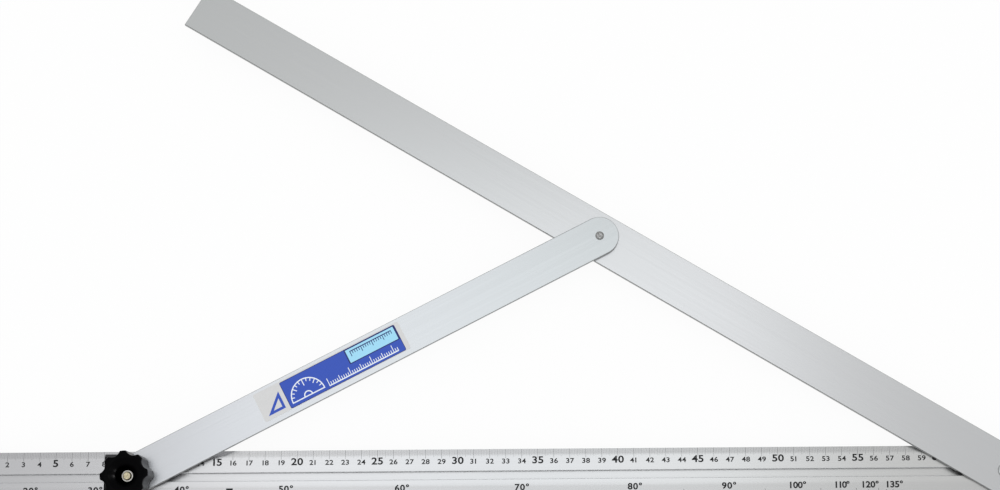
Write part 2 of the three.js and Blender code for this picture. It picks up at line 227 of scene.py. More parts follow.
def underLips(tree, aside, height):
    # 1 in the rail's channel where the lips of its slot cover it, 0 elsewhere
    mouthLow, mouthHigh = anodising["mouth"]
    lipLow, lipHigh = anodising["lip"]
    beyondMouth = addNode(tree, "ShaderNodeMapRange", {}, {
        "Value": aside, "From Min": mouthLow * mm, "From Max": mouthHigh * mm})
    belowLip = addNode(tree, "ShaderNodeMapRange", {}, {
        "Value": height, "From Min": lipLow * mm, "From Max": lipHigh * mm})
    covered = addNode(tree, "ShaderNodeMath", {"operation": "MULTIPLY"}, {
        0: beyondMouth.outputs["Result"], 1: belowLip.outputs["Result"]})
    inside = addNode(tree, "ShaderNodeMath", {"operation": "LESS_THAN"}, {
        0: aside, 1: anodising["channel"] * mm})
    hidden = addNode(tree, "ShaderNodeMath", {"operation": "MULTIPLY"}, {
        0: covered.outputs[0], 1: inside.outputs[0]})
    return hidden.outputs[0]


def anodisedAluminium(name, look, turn=0):
    # drawn or extruded 6063 with a clear satin anodised skin: a soft mirror with faint die
    # lines along the bar. Painted light and shade: a painted sheen lightens and darkens the faces
    # along the bar, the bevels take painted shade and sheen, the blade's and link's upright sides and
    # the rail's outer sides take painted shade, and the rail's slot walls and the channel under its lips
    # take painted light. The real lines are about 0.1 mm apart, drawn 1.1 mm apart
    material, tree = newMaterial(name)
    place = addNode(tree, "ShaderNodeTexCoord")
    along = addNode(tree, "ShaderNodeMapping", {"vector_type": "TEXTURE"}, {
        "Vector": place.outputs["Object"], "Rotation": (0, 0, turn), "Scale": anodising["dieLine"]})
    lines = addNode(tree, "ShaderNodeTexNoise", {}, {
        "Vector": along.outputs["Vector"], "Scale": 1.0, "Detail": 3.0, "Roughness": 0.6})
    parts = addNode(tree, "ShaderNodeSeparateXYZ", {}, {"Vector": place.outputs["Object"]})
    placeAlongBar = addNode(tree, "ShaderNodeMapRange", {}, {
        "Value": parts.outputs["X"], "From Min": -anodising["reach"], "From Max": anodising["reach"]})
    flat = barTones(tree, placeAlongBar.outputs["Result"], look["flat"])
    bevel = barTones(tree, placeAlongBar.outputs["Result"], look["bevel"])
    # painted shade and sheen on the bevels: tones of their own, mostly darker than the flat faces, for how
    # the tilted faces catch the light
    bevelled = addNode(tree, "ShaderNodeMix", {"data_type": "RGBA"}, {
        "Factor": upShare(tree, *anodising["level"]), "A": bevel, "B": flat})
    aside = addNode(tree, "ShaderNodeMath", {"operation": "ABSOLUTE"}, {0: parts.outputs["Y"]})
    outerLow, outerHigh = anodising["outer"]
    outer = addNode(tree, "ShaderNodeMapRange", {}, {
        "Value": aside.outputs[0], "From Min": outerLow * mm, "From Max": outerHigh * mm})
    # painted light and shade on the upright faces: lighter on the rail's slot walls, darker on its outer
    # sides and on the blade's and link's sides
    sideLightAndShade = addNode(tree, "ShaderNodeMix", {"data_type": "RGBA"}, {
        "Factor": outer.outputs["Result"], "A": linear(look["inner"]), "B": linear(look["edge"])})
    tone = addNode(tree, "ShaderNodeMix", {"data_type": "RGBA"}, {
        "Factor": upShare(tree, *look["upright"]), "A": sideLightAndShade.outputs["Result"],
        "B": bevelled.outputs["Result"]})
    # painted light: the channel under the slot's lips is drawn lighter than the flat faces, against the
    # shade under them
    if "under" in look:
        tone = addNode(tree, "ShaderNodeMix", {"data_type": "RGBA"}, {
            "Factor": underLips(tree, aside.outputs[0], parts.outputs["Z"]),
            "A": tone.outputs["Result"], "B": linear(look["under"])})
    lined = addNode(tree, "ShaderNodeMix", {"data_type": "RGBA", "blend_type": "MULTIPLY"}, {
        "Factor": lines.outputs["Fac"], "A": tone.outputs["Result"],
        "B": linear(anodising["lineTint"])})
    skin = addNode(tree, "ShaderNodeMapRange", {}, {
        "Value": lines.outputs["Fac"], "To Min": look["roughness"] - anodising["lineGloss"],
        "To Max": look["roughness"] + anodising["lineGloss"]})
    strength, depth = anodising["relief"]
    relief = addNode(tree, "ShaderNodeBump", {}, {
        "Height": lines.outputs["Fac"], "Strength": strength, "Distance": depth})
    shader = addNode(tree, "ShaderNodeBsdfPrincipled", {}, {
        "Base Color": lined.outputs["Result"], "Metallic": 1.0,
        "Roughness": skin.outputs["Result"], "Normal": relief.outputs["Normal"]})
    addNode(tree, "ShaderNodeOutputMaterial", {}, {"Surface": shader.outputs["BSDF"]})
    return material


moulding = {
    "level": (0.85, 0.97),          # slope shares between a drawn flank and a level face
    "fleck": "#E0E0E0", "fleckGloss": 0.06,     # what the grain does to the tone and the roughness
    "reliefDepth": 0.00004,         # metres
}


def mouldedPlastic(name, hexColour, flankLightShadeHex, roughness, level, grain, strength, foot=None):
    # injection moulded and coloured through: a fine spark-eroded grain breaks the gloss. The upright
    # flanks take a tone of their own: a painted reflection on the knob's flanks, a painted highlight on
    # the carriage's sides and chamfers, and a slightly darker tone on the washers' rims. Painted shade fades
    # in towards the foot if one is given. The real grain is under 0.1 mm, drawn 0.5 mm or more so that it
    # shows
    material, tree = newMaterial(name)
    place = addNode(tree, "ShaderNodeTexCoord")
    spark = addNode(tree, "ShaderNodeTexNoise", {}, {
        "Vector": place.outputs["Object"], "Scale": 1 / (grain * mm), "Detail": 3.0})
    paintedFlankTone = addNode(tree, "ShaderNodeMix", {"data_type": "RGBA"}, {
        "Factor": upShare(tree, *moulding["level"]), "A": linear(flankLightShadeHex), "B": linear(hexColour)})
    if foot:
        footShadeHex, low, high = foot
        parts = addNode(tree, "ShaderNodeSeparateXYZ", {}, {"Vector": place.outputs["Object"]})
        rise = addNode(tree, "ShaderNodeMapRange", {}, {
            "Value": parts.outputs["Z"], "From Min": low * mm, "From Max": high * mm})
        paintedFlankTone = addNode(tree, "ShaderNodeMix", {"data_type": "RGBA"}, {
            "Factor": rise.outputs["Result"], "A": linear(footShadeHex), "B": paintedFlankTone.outputs["Result"]})
    flecked = addNode(tree, "ShaderNodeMix", {"data_type": "RGBA", "blend_type": "MULTIPLY"}, {
        "Factor": spark.outputs["Fac"], "A": paintedFlankTone.outputs["Result"], "B": linear(moulding["fleck"])})
    sheen = addNode(tree, "ShaderNodeMapRange", {}, {
        "Value": spark.outputs["Fac"], "To Min": roughness - moulding["fleckGloss"],
        "To Max": roughness + moulding["fleckGloss"]})
    relief = addNode(tree, "ShaderNodeBump", {}, {
        "Height": spark.outputs["Fac"], "Strength": strength, "Distance": moulding["reliefDepth"]})
    shader = addNode(tree, "ShaderNodeBsdfPrincipled", {}, {
        "Base Color": flecked.outputs["Result"], "Roughness": sheen.outputs["Result"],
        "Specular IOR Level": level, "Normal": relief.outputs["Normal"]})
    addNode(tree, "ShaderNodeOutputMaterial", {}, {"Surface": shader.outputs["BSDF"]})
    return material


plating = {
    "spread": (0.35, 0.65),         # the span of the noise that runs from shade to full tone
    "gloss": 0.08,                  # what the mottle does to the roughness
    "relief": (0.3, 0.00005),       # strength, and depth in metres
}


def platedMetal(name, hexColour, shadeHex, roughness, mottleSize):
    # thin bright plating over turned steel, or the steel itself, mottled where the pieces
    # tumbled against each other in the barrel
    material, tree = newMaterial(name)
    place = addNode(tree, "ShaderNodeTexCoord")
    mottle = addNode(tree, "ShaderNodeTexNoise", {}, {
        "Vector": place.outputs["Object"], "Scale": 1 / (mottleSize * mm), "Detail": 3.0})
    spreadLow, spreadHigh = plating["spread"]
    sharper = addNode(tree, "ShaderNodeMapRange", {}, {
        "Value": mottle.outputs["Fac"], "From Min": spreadLow, "From Max": spreadHigh})
    tone = addNode(tree, "ShaderNodeMix", {"data_type": "RGBA"}, {
        "Factor": sharper.outputs["Result"], "A": linear(shadeHex), "B": linear(hexColour)})
    skin = addNode(tree, "ShaderNodeMapRange", {}, {
        "Value": mottle.outputs["Fac"], "To Min": roughness - plating["gloss"],
        "To Max": roughness + plating["gloss"]})
    strength, depth = plating["relief"]
    relief = addNode(tree, "ShaderNodeBump", {}, {
        "Height": mottle.outputs["Fac"], "Strength": strength, "Distance": depth})
    shader = addNode(tree, "ShaderNodeBsdfPrincipled", {}, {
        "Base Color": tone.outputs["Result"], "Metallic": 1.0,
        "Roughness": skin.outputs["Result"], "Normal": relief.outputs["Normal"]})
    addNode(tree, "ShaderNodeOutputMaterial", {}, {"Surface": shader.outputs["BSDF"]})
    return material


inkFilm = {
    "mesh": 0.0009,                 # metres
    "paler": (1.12, 0.002),         # the paler tone is this many times as light, and this much more
    "level": 0.3,                   # of its gloss
}


def printedInk(name, hexColour, roughness):
    # screen printed ink: flat colour with the slight unevenness of the mesh. The real mesh is
    # about 0.1 mm, drawn 0.9 mm
    material, tree = newMaterial(name)
    place = addNode(tree, "ShaderNodeTexCoord")
    screen = addNode(tree, "ShaderNodeTexNoise", {}, {
        "Vector": place.outputs["Object"], "Scale": 1 / inkFilm["mesh"], "Detail": 2.0})
    times, more = inkFilm["paler"]
    paler = [min(1, c * times + more) for c in linear(hexColour)[:3]] + [1]
    tone = addNode(tree, "ShaderNodeMix", {"data_type": "RGBA"}, {
        "Factor": screen.outputs["Fac"], "A": linear(hexColour), "B": paler})
    shader = addNode(tree, "ShaderNodeBsdfPrincipled", {}, {
        "Base Color": tone.outputs["Result"], "Roughness": roughness,
        "Specular IOR Level": inkFilm["level"]})
    addNode(tree, "ShaderNodeOutputMaterial", {}, {"Surface": shader.outputs["BSDF"]})
    return material


# each bar's tones by place along X on its flat faces and its bevels (painted sheen along the bar,
# with painted shade and sheen on the bevels), then on the upright faces near the rail's middle line and
# on those further out (painted light inside the rail's slot, painted shade on its outer sides and on all
# the blade's and link's sides), the slope shares between which a face counts as upright, and for the
# rail the painted light under the lips of its slot
railLook = {
    "flat": ((-0.3, "#BEBEC0"), (-0.17, "#C4C3C4"), (0.0, "#BDBDBE"), (0.25, "#C2C2C1")),
    "bevel": ((-0.3, "#AFB0B2"), (-0.15, "#CDCDCE"), (0.05, "#BFC0C1"), (0.24, "#ADAEAF")),
    "inner": "#F2F3F5", "edge": "#A4A6A8", "under": "#E4E5E7",
    "upright": (0.72, 0.9), "roughness": 0.26,
}
bladeLook = {
    "flat": ((-0.2, "#BCBEBE"), (0.15, "#C3C3C4"), (0.3, "#C0C1C2")),
    "bevel": ((-0.2, "#9C9E9E"), (0.3, "#9D9F9F")),
    "inner": "#838584", "edge": "#838584",
    "upright": (0.3, 0.85), "roughness": 0.26,
}
linkLook = {
    "flat": ((-0.16, "#BFC0C3"), (0.07, "#B8BBBC")),
    "bevel": ((-0.2, "#9C9E9E"), (0.1, "#9D9F9F")),
    "inner": "#838586", "edge": "#838586",
    "upright": (0.3, 0.85), "roughness": 0.26,
}
railSkin = anodisedAluminium("anodised rail extrusion", railLook)
bladeSkin = anodisedAluminium("anodised blade bar", bladeLook, bladeTurn)
linkSkin = anodisedAluminium("anodised link bar", linkLook, linkTurn)

knobFace = mouldedPlastic("black moulded nylon knob face", "#020203", "#040405",
                          roughness=0.25, level=0.03, grain=0.5, strength=0.1)
knobCore = mouldedPlastic("matt black nylon knob core", "#020202", "#010101",
                          roughness=0.9, level=0.0, grain=0.5, strength=0.1)
# painted reflection: the flank is drawn far lighter than the knob's face, though both are the same black
# nylon, for the bright metal it mirrors; painted shade darkens its foot
knobFlank = mouldedPlastic("black moulded nylon knob flank", "#222224", "#242426",
                           roughness=0.3, level=0.06, grain=0.5, strength=0.1,
                           foot=("#030304", 23, 35))    # mm up, between which the painted shade at its foot fades out
# painted highlight: the carriage's sides and chamfers are drawn grey, far lighter than its black top, for
# the light that they catch
carriageSkin = mouldedPlastic("black moulded acetal", "#0A0A0B", "#424244",
                              roughness=0.5, level=0.1, grain=0.6, strength=0.15)
washerSkin = mouldedPlastic("natural nylon washer", "#E4E2DA", "#D8D6CE",
                            roughness=0.55, level=0.5, grain=0.5, strength=0.1)

steelSkin = platedMetal("zinc plated steel", "#B9BABA", "#8F908E", roughness=0.3, mottleSize=1.2)
rivetSkin = platedMetal("bare rivet steel", "#B2B2B1", "#7A7A79", roughness=0.32, mottleSize=0.8)
insertSkin = platedMetal("nickel plated insert", "#E2DED8", "#C9C4BC", roughness=0.35, mottleSize=1.0)
studSkin = platedMetal("yellow passivated stud", "#D2C8AB", "#9A8F74", roughness=0.36, mottleSize=0.7)
# painted shade: the stud's threaded sides are drawn dark brown for the shade between the stud and the
# insert's bore; the steel is the same as at its end
threadShadeSkin = platedMetal("stud thread, painted shade", "#5E4E38", "#33291D", roughness=0.4, mottleSize=0.6)

scaleInk = printedInk("black scale ink", "#101114", roughness=0.5)
labelFilm = printedInk("silver label film", "#D1D1D1", roughness=0.35)
labelBlue = printedInk("blue label ink", "#3050B4", roughness=0.4)
labelNavy = printedInk("navy label ink", "#1C2568", roughness=0.4)
labelCyan = printedInk("pale blue label ink", "#9FD9F3", roughness=0.4)
labelWhite = printedInk("white label ink", "#E9EFF8", roughness=0.4)

dress(["base_rail"], railSkin)
dress(["blade"], bladeSkin)
dress(["link_arm"], linkSkin)
dress(["carriage", "end_cap_left", "end_cap_right"], carriageSkin)
dress(["pivot_washer", "link_washer", "carriage_washer"], washerSkin)
dress(["pivot_backing", "slot_nut", "clamp_washer", "pivot_head_washer"], steelSkin)
dress(["pivot_rivet", "link_rivet"], rivetSkin)
dress(["knob_insert"], insertSkin)
dress(["clamp_stud"], studSkin)
dress(["knob"], knobFace)
dress(["label"], labelFilm)
print("materials made")

# what both scales share. The top faces' profile is read from the rail, so that the print lies on it
scalePrint = {
    "faceDepth": 1.3,               # mm under the rail's highest point in which its top faces lie
    "proud": 0.03, "margin": 0.05,  # mm that the ink stands up, and that a tick keeps from the edge
    "tickSteps": 6,
    "digit": 0.72,                  # a digit's height over the size of Blender's own font
    "narrowOne": 0.14,              # spacing taken off for each 1
    "curveSteps": 4,
}
railLow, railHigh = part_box("base_rail")
railProfile = sorted({(round(v.co.y / mm, 4), round(v.co.z / mm, 4))
                      for v in nodes["base_rail"].data.vertices
                      if v.co.z > railHigh.z - scalePrint["faceDepth"] * mm})


def railTop(y):
    for (y0, z0), (y1, z1) in zip(railProfile, railProfile[1:]):
        if y0 <= y <= y1 and y1 > y0:
            return z0 + (z1 - z0) * (y - y0) / (y1 - y0)
    return railHigh.z / mm


def addTick(bm, x, width, edge, length, inward):
    # a thin closed strip that follows the rail's profile in from one of its long edges
    steps, proud = scalePrint["tickSteps"], scalePrint["proud"]
    rows = []
    for i in range(steps + 1):
        y = edge + inward * length * i / steps
        z = railTop(y) + proud
        rows.append([bm.verts.new(Vector((px, y, pz)) * mm) for px, pz in (
            (x - width / 2, z - 2 * proud), (x + width / 2, z - 2 * proud),
            (x + width / 2, z), (x - width / 2, z))])
    for near, far in zip(rows, rows[1:]):
        for i in range(4):
            j = (i + 1) % 4
            bm.faces.new((near[i], near[j], far[j], far[i]))
    bm.faces.new(rows[0][::-1])
    bm.faces.new(rows[-1])


def addWord(bm, text, height, weight, wide, gap, place):
    # a number in Blender's own font, centred over its place, its digits as high as given
    curve = bpy.data.curves.new("word", "FONT")
    curve.body = text
    curve.align_x = "CENTER"
    curve.resolution_u = scalePrint["curveSteps"]
    curve.offset = weight
    curve.space_character = gap - scalePrint["narrowOne"] * text.count("1")
    unit = height * mm / scalePrint["digit"]
    curve.extrude = scalePrint["proud"] * mm / unit
    holder = bpy.data.objects.new("word", curve)
    scene.collection.objects.link(holder)
    made = bpy.data.meshes.new_from_object(
        holder.evaluated_get(bpy.context.evaluated_depsgraph_get()))
    made.transform(place @ Matrix.Diagonal((wide * unit, unit, unit, 1)))
    bm.from_mesh(made)
    bpy.data.objects.remove(holder)
    bpy.data.curves.remove(curve)
    bpy.data.meshes.remove(made)


lengthScale = {
    "zero": -322.0,                 # mm from the rail's middle to its 0 mark
    "last": 60,                     # cm
    "tick": {"mm": (4.0, 0.05), "half": (4.8, 0.08), "cm": (5.6, 0.16)},  # length and width
    "foot": 7.1,                    # the numbers' foot, from the rail's middle line
    "small": (3.05, 0.022, 1.2, 1.04),      # height in mm, weight, stretch and spacing
    "large": (4.35, 0.025, 1.22, 1.04),     # every fifth
}
topEdge = railHigh.y / mm
lengthTicks = bmesh.new()
for step in range(10 * lengthScale["last"] + 1):
    kind = "cm" if step % 10 == 0 else "half" if step % 5 == 0 else "mm"
    length, width = lengthScale["tick"][kind]
    addTick(lengthTicks, lengthScale["zero"] + step, width, topEdge - scalePrint["margin"], length, -1)
addPiece("length_ticks", lengthTicks, [scaleInk], "base")

lengthNumbers = bmesh.new()
foot = lengthScale["foot"]
for number in range(1, lengthScale["last"] + 1):
    height, weight, wide, gap = lengthScale["large" if number % 5 == 0 else "small"]
    place = Matrix.Translation(Vector((
        lengthScale["zero"] + 10 * number, foot, railTop(foot) + scalePrint["proud"])) * mm)
    addWord(lengthNumbers, str(number), height, weight, wide, gap, place)
addPiece("length_numbers", lengthNumbers, [scaleInk], "base")
print("length scale printed")

angleScale = {
    "named": (20, 30, 40, 50, 60, 70, 80, 90, 100, 110, 120, 135),
    "first": 17, "last": 137,
    "everyDegreeTo": 120,           # and from there every fifth
    "boldFives": (45, 135),         # drawn as the tens are
    "index": 18.1,                  # mm from the clamp's axis to the carriage's index
    "word": (3.9, 0.03, 1.12, 1.12),        # height in mm, weight, stretch and spacing
    "wordShift": 0.9,               # mm right of the tick, for the width of the degree sign
    "foot": -9.5,
    "tick": {"one": (3.2, 0.16), "five": (6.4, 0.2), "ten": (5.4, 0.24)},
    "slopeAt": (-8.5, -15.0),       # two places across the bevel that carries the scale
}
lowEdge = railLow.y / mm
crank = (pivotAt - crankAt).to_2d().length / mm
link = (crankAt - clampAt).to_2d().length / mm


def angleMark(degrees):
    # where the carriage's index stands on the rail at an angle between blade and rail
    angle = math.radians(degrees)
    reach = crank * math.cos(angle) + math.sqrt(link ** 2 - (crank * math.sin(angle)) ** 2)
    return pivotAt.x / mm - reach - angleScale["index"]


nearY, farY = angleScale["slopeAt"]
slope = math.atan((railTop(nearY) - railTop(farY)) / (nearY - farY))
angleTicks = bmesh.new()
for degrees in range(angleScale["first"], angleScale["last"] + 1):
    if degrees > angleScale["everyDegreeTo"] and degrees % 5:
        continue
    kind = "one" if degrees % 5 else "five"
    if degrees % 10 == 0 or degrees in angleScale["boldFives"]:
        kind = "ten"
    length, width = angleScale["tick"][kind]
    addTick(angleTicks, angleMark(degrees), width, lowEdge + scalePrint["margin"], length, 1)

# the marker at 45 degrees: a block with a point below it, printed over the ticks
markerForm = {
    "at": 45, "shift": -0.65,       # degrees, and mm along the rail from there
    "sizes": (-7.05, 2.05, 3.0, 1.6),       # top, half width, height of its block and of its point
    "low": -0.1, "high": 0.04,      # mm from the rail's face
}
top, half, block, point = markerForm["sizes"]
markerX = angleMark(markerForm["at"]) + markerForm["shift"]
markerPlace = Matrix.Translation(Vector((markerX, top, railTop(top))) * mm) @ Matrix.Rotation(slope, 4, "X")
addPrism(angleTicks, [(0, -block - point), (half, -block), (half, 0), (-half, 0), (-half, -block)],
         markerForm["low"], markerForm["high"], markerPlace)
addPiece("angle_ticks", angleTicks, [scaleInk], "base")

angleNumbers = bmesh.new()
height, weight, wide, gap = angleScale["word"]
foot = angleScale["foot"]
for degrees in angleScale["named"]:
    place = Matrix.Translation(Vector((
        angleMark(degrees) + angleScale["wordShift"], foot, railTop(foot) + scalePrint["proud"])) * mm)
    place = place @ Matrix.Rotation(slope, 4, "X")
    addWord(angleNumbers, str(degrees) + "°", height, weight, wide, gap, place)
addPiece("angle_numbers", angleNumbers, [scaleInk], "base")
print("angle scale printed")

# the label's print lies on the film that the solids carry: plain drawing signs, no words.
# Lengths are mm along the link from the clamp's axis, then across it
labelPrint = {
    "coat": 0.02,                   # of ink
    "border": (107.05, 187.45, -8.5, 9.6, 1.0),     # from and to along and across, corner
    "blue": (107.4, 187.1, -8.15, 9.25, 0.7),
    "cyan": (152.7, 186.1, 0.1, 8.7, 0.3),
    "navy": (151.9, 187.3, -0.5, 9.5, 0.8),
    "onFilm": 1, "onBlue": 3, "onCyan": 5,      # coats from the film to the top of a sign
    "crossing": 0.5,                # coats more for strokes that run into another
    "square": (92.6, 104.4, -6.2, 5.2, 1.7),    # the set square's ends, foot, top and bar width
    "teeth": (1.5, 0.3, 0.45),      # pitch, start and width on the rule and the comb
}
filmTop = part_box("label")[1].z / mm
onLink = Matrix.Translation((clampAt.x, clampAt.y, 0)) @ Matrix.Rotation(linkTurn, 4, "Z")
coat = labelPrint["coat"]
printBlocks = bmesh.new()
blueInk, navyInk, cyanInk, whiteInk = range(4)
fields = (("border", navyInk), ("blue", blueInk), ("navy", navyInk), ("cyan", cyanInk))
for coats, (name, ink) in enumerate(fields, 1):
    x0, x1, y0, y1, corner = labelPrint[name]
    addPrism(printBlocks, roundedBox(x0, x1, y0, y1, corner), filmTop - coat,
             filmTop + coats * coat, onLink, ink)


def printSign(outline, coats, ink):
    addPrism(printBlocks, outline, filmTop, filmTop + coats * coat, onLink, ink)


# the set square: its opening is the outline drawn in towards the incentre, so that all three
# of its bars are as wide
x0, x1, foot, top, width = labelPrint["square"]
corners = [Vector((x0, foot)), Vector((x1, foot)), Vector((x1, top))]
across = [(corners[i - 1] - corners[i - 2]).length for i in range(3)]
middle = sum((corner * side for corner, side in zip(corners, across)), Vector((0, 0))) / sum(across)
keep = 1 - width * sum(across) / ((x1 - x0) * (top - foot))
opening = [middle + (corner - middle) * keep for corner in corners]
for i in range(3):
    printSign([corners[i - 1], corners[i], opening[i], opening[i - 1]], labelPrint["onFilm"], blueInk)

# the protractor
fan = {
    "middle": (120.5, -5.6), "radius": 11.2, "band": 0.7, "steps": 48,
    "hub": (2.2, 2.9), "hubSteps": 24,
    "spokeEvery": 15, "spokeWidth": 0.55, "spokeGap": 0.3,      # degrees, mm, and mm in from the radius
    "spoke": {"upright": 4.6, "half": 3.4, "plain": 2.4},       # where they start, in from the radius
}
(x0, foot), radius, band = fan["middle"], fan["radius"], fan["band"]
coats = labelPrint["onBlue"]
printSign(halfRing(x0, foot, radius - band, radius, fan["steps"]), coats, whiteInk)
printSign(halfRing(x0, foot, *fan["hub"], fan["hubSteps"]), coats, whiteInk)
printSign(stroke(x0 - radius, foot - band / 2, x0 + radius, foot - band / 2, band), coats, whiteInk)
for degrees in range(fan["spokeEvery"], 180, fan["spokeEvery"]):
    turn = math.radians(degrees)
    kind = "upright" if degrees == 90 else "half" if degrees % 45 == 0 else "plain"
    near, far = radius - fan["spoke"][kind], radius - fan["spokeGap"]
    printSign(stroke(x0 + near * math.cos(turn), foot + near * math.sin(turn),
                     x0 + far * math.cos(turn), foot + far * math.sin(turn), fan["spokeWidth"]),
              coats + labelPrint["crossing"], whiteInk)


def printTeeth(form, coats, ink):
    # a ruled line with teeth on one side, the longer ones where a coarser step falls
    x0, x1, y, width = form["line"]
    pitch, start, toothWidth = labelPrint["teeth"]
    printSign(stroke(x0, y, x1, y, width), coats, ink)
    for i in range(int((x1 - x0) / pitch) + 1):
        share = next(part for step, part in form["shares"] if i % step == 0)
        x = x0 + start + pitch * i
        printSign(stroke(x, y, x, y + share * form["longest"], toothWidth),
                  coats + labelPrint["crossing"], ink)


# a line's ends, its place across and its width, its longest tooth, and each step's share of that
rule = {"line": (134.5, 183.0, -6.6, 0.7), "longest": 5.0, "shares": ((10, 1), (5, 0.7), (1, 0.45))}
comb = {"line": (155.0, 184.0, 7.0, 0.6), "longest": -3.4, "shares": ((5, 1), (1, 0.6))}
printTeeth(rule, labelPrint["onBlue"], whiteInk)
printTeeth(comb, labelPrint["onCyan"], navyInk)
addPiece("label_print", printBlocks, [labelBlue, labelNavy, labelCyan, labelWhite], "link")
print("label printed")

# rivets: a domed head with a punched dimple, a plain shank, and the tail that the solids have
rivetForm = {
    "head": 5.4, "height": 1.1, "rim": 0.3,     # width, height and upright rim of the head
    "domeSteps": 9, "fullness": 0.8,            # a fullness under 1 swells the dome
    "dimple": (0.8, 0.22), "dimpleSteps": 4,    # radius and depth
    "linkShank": 3.6, "pivotShank": 4.6,
    "linkTail": (6.0, 1.1), "pivotTail": (7.0, 0.8),    # width and height
    "punch": (1.1, 0.9, 0.15, 0.2),             # in the link's tail: radii at its mouth and its floor,
                                                # depths at the floor's edge and middle
    "chamfer": 0.25,                            # of the pivot's tail
    "sharp": 32,                                # degrees from which an edge stays sharp
}


def rivetHead(base):
    # from the rim over the dome to the dimple's middle
    radius, height, rim = rivetForm["head"] / 2, rivetForm["height"], rivetForm["rim"]
    dimple, depth = rivetForm["dimple"]
    section = [(radius, base), (radius, base + rim)]
    for i in range(1, rivetForm["domeSteps"]):
        angle = math.radians(90 * i / rivetForm["domeSteps"])
        section.append((dimple + (radius - dimple) * math.cos(angle) ** rivetForm["fullness"],
                        base + rim + (height - rim) * math.sin(angle)))
    for i in range(rivetForm["dimpleSteps"] + 1):
        share = i / rivetForm["dimpleSteps"]
        section.append((dimple * (1 - share), base + height - depth * math.sin(math.radians(90 * share))))
    return section


linkRivetLow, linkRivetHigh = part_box("link_rivet")
low, high = linkRivetLow.z / mm, linkRivetHigh.z / mm
shank = rivetForm["linkShank"] / 2
tail, tailHeight = rivetForm["linkTail"]
mouth, floor, edgeDepth, depth = rivetForm["punch"]
linkRivet = bmesh.new()
addTurned(linkRivet, [(0, low + depth), (floor, low + edgeDepth), (mouth, low), (tail / 2, low),
                      (shank, low + tailHeight), (shank, high - rivetForm["height"])]
          + rivetHead(high - rivetForm["height"]), Matrix.Translation((crankAt.x, crankAt.y, 0)))
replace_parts(addPiece("link_rivet_turned", linkRivet, [rivetSkin], "blade",
                     rivetForm["sharp"]), "link_rivet")

pivotRivetLow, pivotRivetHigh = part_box("pivot_rivet")
low, high = pivotRivetLow.z / mm, pivotRivetHigh.z / mm
shank = rivetForm["pivotShank"] / 2
tail, tailHeight = rivetForm["pivotTail"]
chamfer = rivetForm["chamfer"]
pivotRivet = bmesh.new()
addTurned(pivotRivet, [(0, low), (tail / 2 - chamfer, low), (tail / 2, low + chamfer),
                       (tail / 2, low + tailHeight), (shank, low + tailHeight),
                       (shank, high - rivetForm["height"])]
          + rivetHead(high - rivetForm["height"]), Matrix.Translation((pivotAt.x, pivotAt.y, 0)))
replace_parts(addPiece("pivot_rivet_turned", pivotRivet, [rivetSkin], "base",
                     rivetForm["sharp"]), "pivot_rivet")
print("rivets turned")

# the washers that show, with the rolled edge that a blanked washer has
washerForm = {
    "edge": 0.12,
    "pivotHead": (4.3, 2.5), "clamp": (9.0, 2.65),      # outer and inner radius
    "sharp": 50,                    # degrees from which an edge stays sharp
}


def addWasher(name, node, body, outer, inner):
    lowest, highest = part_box(node)
    low, high, edge = lowest.z / mm, highest.z / mm, washerForm["edge"]
    middle = (lowest + highest) / 2
    washer = bmesh.new()
    addTurned(washer, [(inner, low), (outer - edge, low), (outer, low + edge), (outer, high - edge),
                       (outer - edge, high), (inner + edge, high), (inner, high - edge)],
              Matrix.Translation((middle.x, middle.y, 0)))
    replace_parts(addPiece(name, washer, [steelSkin], body, washerForm["sharp"]), node)


addWasher("pivot_head_washer_blanked", "pivot_head_washer", "base", *washerForm["pivotHead"])
addWasher("clamp_washer_blanked", "clamp_washer", "knob", *washerForm["clamp"])
print("washers blanked")

# the clamp stud with its rolled thread, and the insert that it screws through
studForm = {
    "outer": 2.4, "depth": 0.4, "pitch": 0.8,   # a 5 mm coarse thread
    "chamfer": 0.22, "around": 40, "perPitch": 8,
    "sharp": 30,                    # degrees from which an edge stays sharp
}
studLow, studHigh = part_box("clamp_stud")
low, high = studLow.z / mm, studHigh.z / mm
stud = bmesh.new()
around = studForm["around"]
levels = int((high - low) / studForm["pitch"] * studForm["perPitch"])
loops = []
for k in range(levels + 1):
    z = low + (high - low) * k / levels
    ends = min(z - low, high - z) / studForm["chamfer"]
    loop = []
    for i in range(around):
        turn = i / around
        wave = abs(((z / studForm["pitch"] - turn) % 1) * 2 - 1)
        radius = studForm["outer"] - studForm["depth"] * wave
        radius = min(radius, studForm["outer"] - studForm["chamfer"] * (1 - min(ends, 1)))
        loop.append(stud.verts.new(Vector((
            clampAt.x / mm + radius * math.cos(2 * math.pi * turn),
            clampAt.y / mm + radius * math.sin(2 * math.pi * turn), z)) * mm))
    loops.append(loop)
endBand, threadBand = range(2)
for near, far in zip(loops, loops[1:]):
    for i in range(around):
        j = (i + 1) % around
        stud.faces.new((near[i], near[j], far[j], far[i])).material_index = threadBand
for end in (loops[0][::-1], loops[-1]):
    stud.faces.new(end).material_index = endBand
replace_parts(addPiece("clamp_stud_threaded", stud, [studSkin, threadShadeSkin], "carriage",
                     studForm["sharp"]), "clamp_stud")

